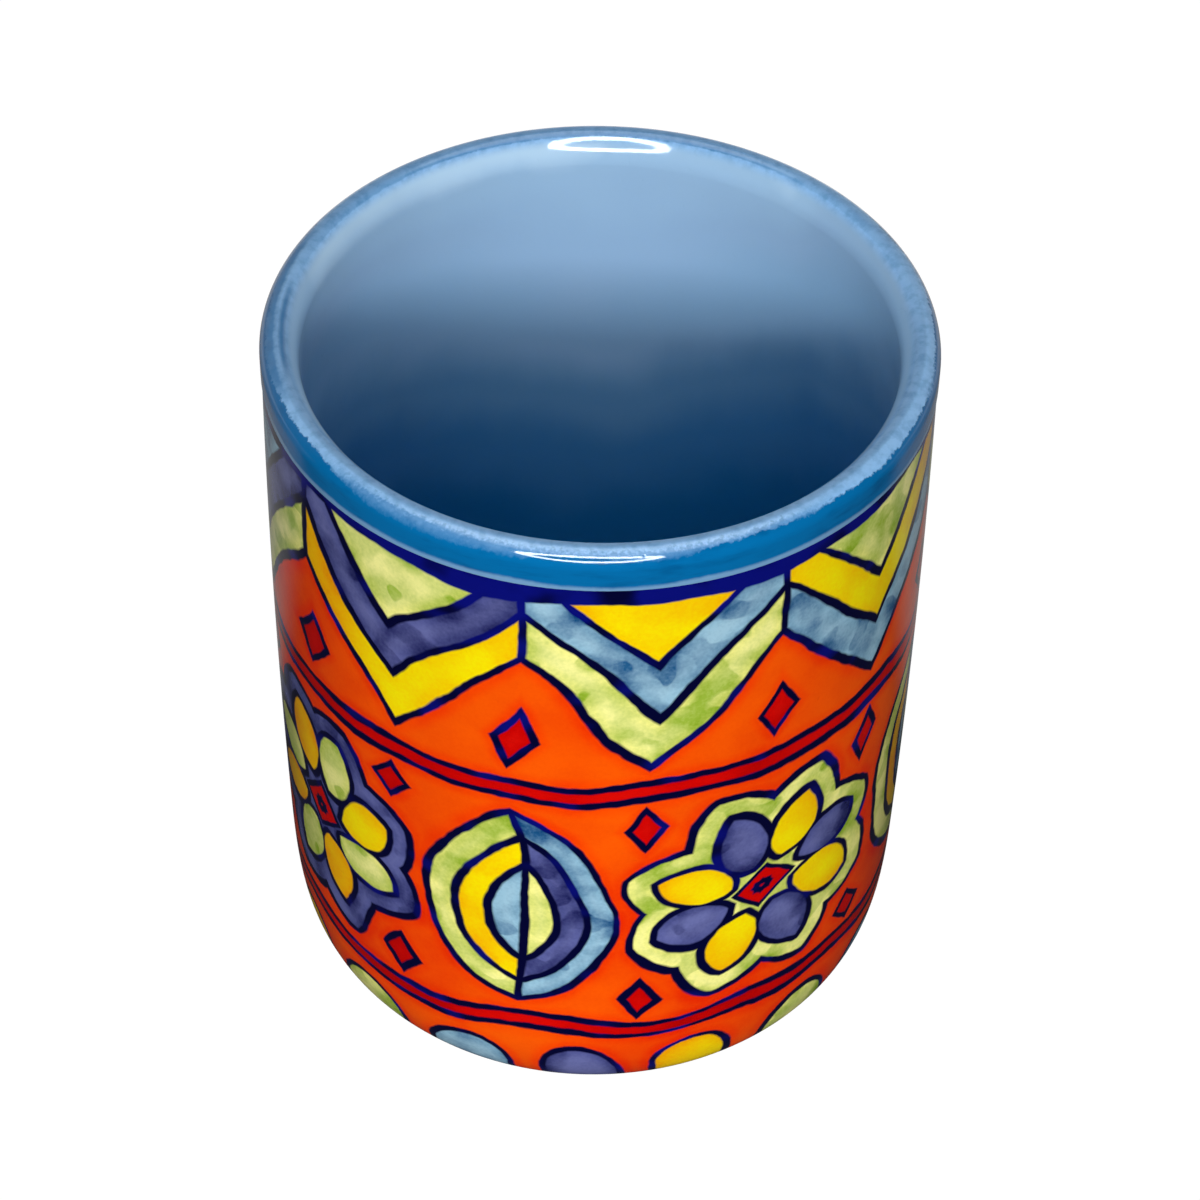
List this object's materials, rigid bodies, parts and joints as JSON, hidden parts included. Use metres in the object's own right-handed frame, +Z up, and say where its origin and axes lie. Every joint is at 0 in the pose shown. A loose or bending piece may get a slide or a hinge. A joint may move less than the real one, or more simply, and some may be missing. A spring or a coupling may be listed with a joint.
{
  "type": "handleless mug",
  "caption": "Handleless mug: near-straight turned clay cup with a rolled glaze rim, glazed inside, hand-painted under glaze outside, standing on a dry foot ring.",
  "frame": {"origin": "centre of the plane that the foot ring rests on", "axes": "+Z up along the axis that the mug is turned about; X and Y lie in the resting plane"},
  "size_m": [0.0826, 0.0826, 0.098],
  "materials": {
    "bisque_clay": "bare fired clay, dry and fine-grained",
    "painted_glaze": "brushed underglaze colours under glossy clear glaze",
    "rim_blue_glaze": "thick glossy teal-blue glaze",
    "liner_blue_glaze": "satin to glossy blue glaze",
    "clear_glaze": "glossy clear glaze over pale clay"
  },
  "bodies": {
    "root": {"clay_body": "bisque_clay", "painted_coat": "painted_glaze", "rim_glaze": "rim_blue_glaze", "inner_glaze": "liner_blue_glaze", "base_glaze": "clear_glaze"}
  },
  "joints": []
}
